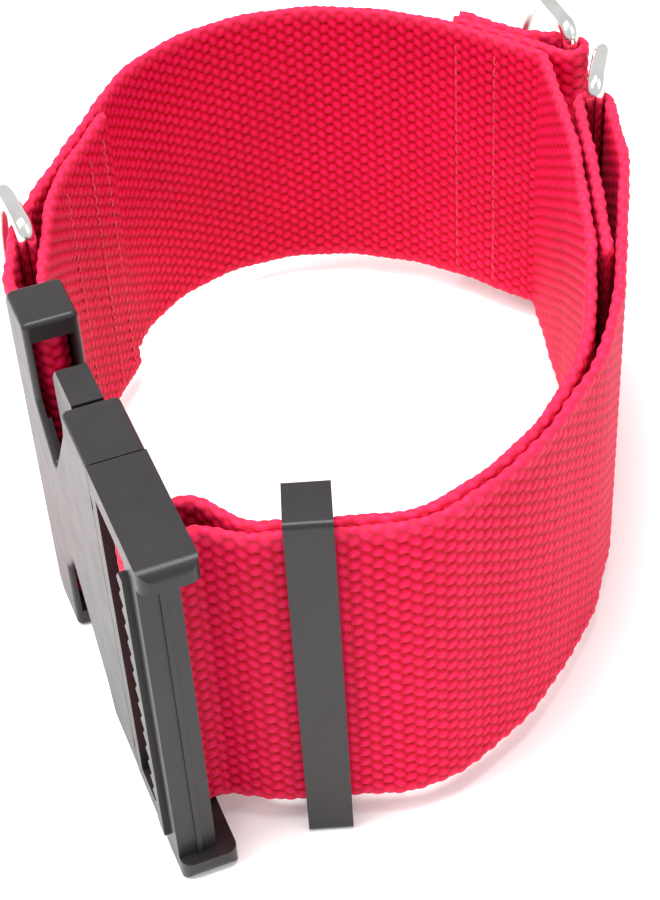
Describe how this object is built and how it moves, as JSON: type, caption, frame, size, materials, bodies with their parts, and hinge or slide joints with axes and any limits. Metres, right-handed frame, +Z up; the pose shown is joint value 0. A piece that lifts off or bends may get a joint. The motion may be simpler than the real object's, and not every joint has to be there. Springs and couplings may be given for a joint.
{
  "type": "luggage strap",
  "caption": "Short loop of wide heavy woven webbing closed by a side release buckle, with a sliding keeper and D rings of round wire on sewn folds",
  "frame": {"origin": "middle of the overall box, on the floor plane under it", "axes": "+Z up along the width of the webbing, -Y towards the keeper side, +X towards the two rings"},
  "size_m": [0.1486, 0.2046, 0.086],
  "materials": {
    "webbing": "coarse woven, slight sheen",
    "thread": "sewing thread",
    "ring_metal": "polished plating",
    "buckle_plastic": "moulded, slight sheen"
  },
  "bodies": {
    "strap_base": {"female_housing": "buckle_plastic", "female_webbing_bar": "buckle_plastic", "ring_tab": "webbing", "stitch_flap_low": "thread", "stitch_flap_mid": "thread", "stitch_flap_tip": "thread", "stitch_tab_far": "thread", "stitch_tab_near": "thread", "stitch_tail_tip": "thread", "webbing_back_left": "webbing", "webbing_back_right": "webbing", "webbing_buckle_wrap": "webbing", "webbing_flap": "webbing", "webbing_left": "webbing", "webbing_right_back": "webbing", "webbing_right_inner": "webbing", "webbing_right_outer": "webbing", "webbing_tail_end": "webbing", "webbing_tail_loop": "webbing"},
    "male_half": {"male_frame": "buckle_plastic", "male_centre_bar": "buckle_plastic", "male_grip_teeth": "buckle_plastic", "centre_guide": "buckle_plastic", "webbing_ladder_wrap": "webbing", "webbing_front_inner": "webbing", "webbing_front_outer": "webbing"},
    "upper_prong": {"upper_prong": "buckle_plastic"},
    "lower_prong": {"lower_prong": "buckle_plastic"},
    "keeper": {"keeper": "buckle_plastic"},
    "ring_left": {"d_ring_left": "ring_metal"},
    "ring_inner": {"d_ring_inner": "ring_metal"},
    "ring_outer": {"d_ring_outer": "ring_metal"}
  },
  "joints": [
    {"name": "buckle_slide", "type": "slide", "parent": "strap_base", "child": "male_half", "axis": [0.3272, -0.9449, 0], "range_m": [0, 0.042], "deforming": ["webbing_right_inner", "webbing_right_outer", "upper_prong", "lower_prong"]},
    {"name": "upper_prong_press", "type": "hinge", "parent": "male_half", "child": "upper_prong", "pos_m": [-0.03985, -0.06915, 0.077], "axis": [-0.9449, -0.3272, 0], "range_deg": [0, 12], "stiffness_Nm_per_rad": 0.35},
    {"name": "lower_prong_press", "type": "hinge", "parent": "male_half", "child": "lower_prong", "pos_m": [-0.03985, -0.06915, 0.009], "axis": [0.9449, 0.3272, 0], "range_deg": [0, 12], "stiffness_Nm_per_rad": 0.35},
    {"name": "keeper_slide", "type": "slide", "parent": "male_half", "child": "keeper", "axis": [1, 0, 0], "range_m": [0, 0.008]},
    {"name": "ring_left_swing", "type": "hinge", "parent": "strap_base", "child": "ring_left", "pos_m": [-0.06114, 0.0047, 0.043], "axis": [0, 0, 1], "range_deg": [-2, 110]},
    {"name": "ring_inner_swing", "type": "hinge", "parent": "strap_base", "child": "ring_inner", "pos_m": [0.06242, 0.07054, 0.043], "axis": [0, 0, 1], "range_deg": [-40, 16]},
    {"name": "ring_outer_swing", "type": "hinge", "parent": "strap_base", "child": "ring_outer", "pos_m": [0.06476, 0.0457, 0.043], "axis": [0, 0, 1], "range_deg": [-115, 2]}
  ]
}
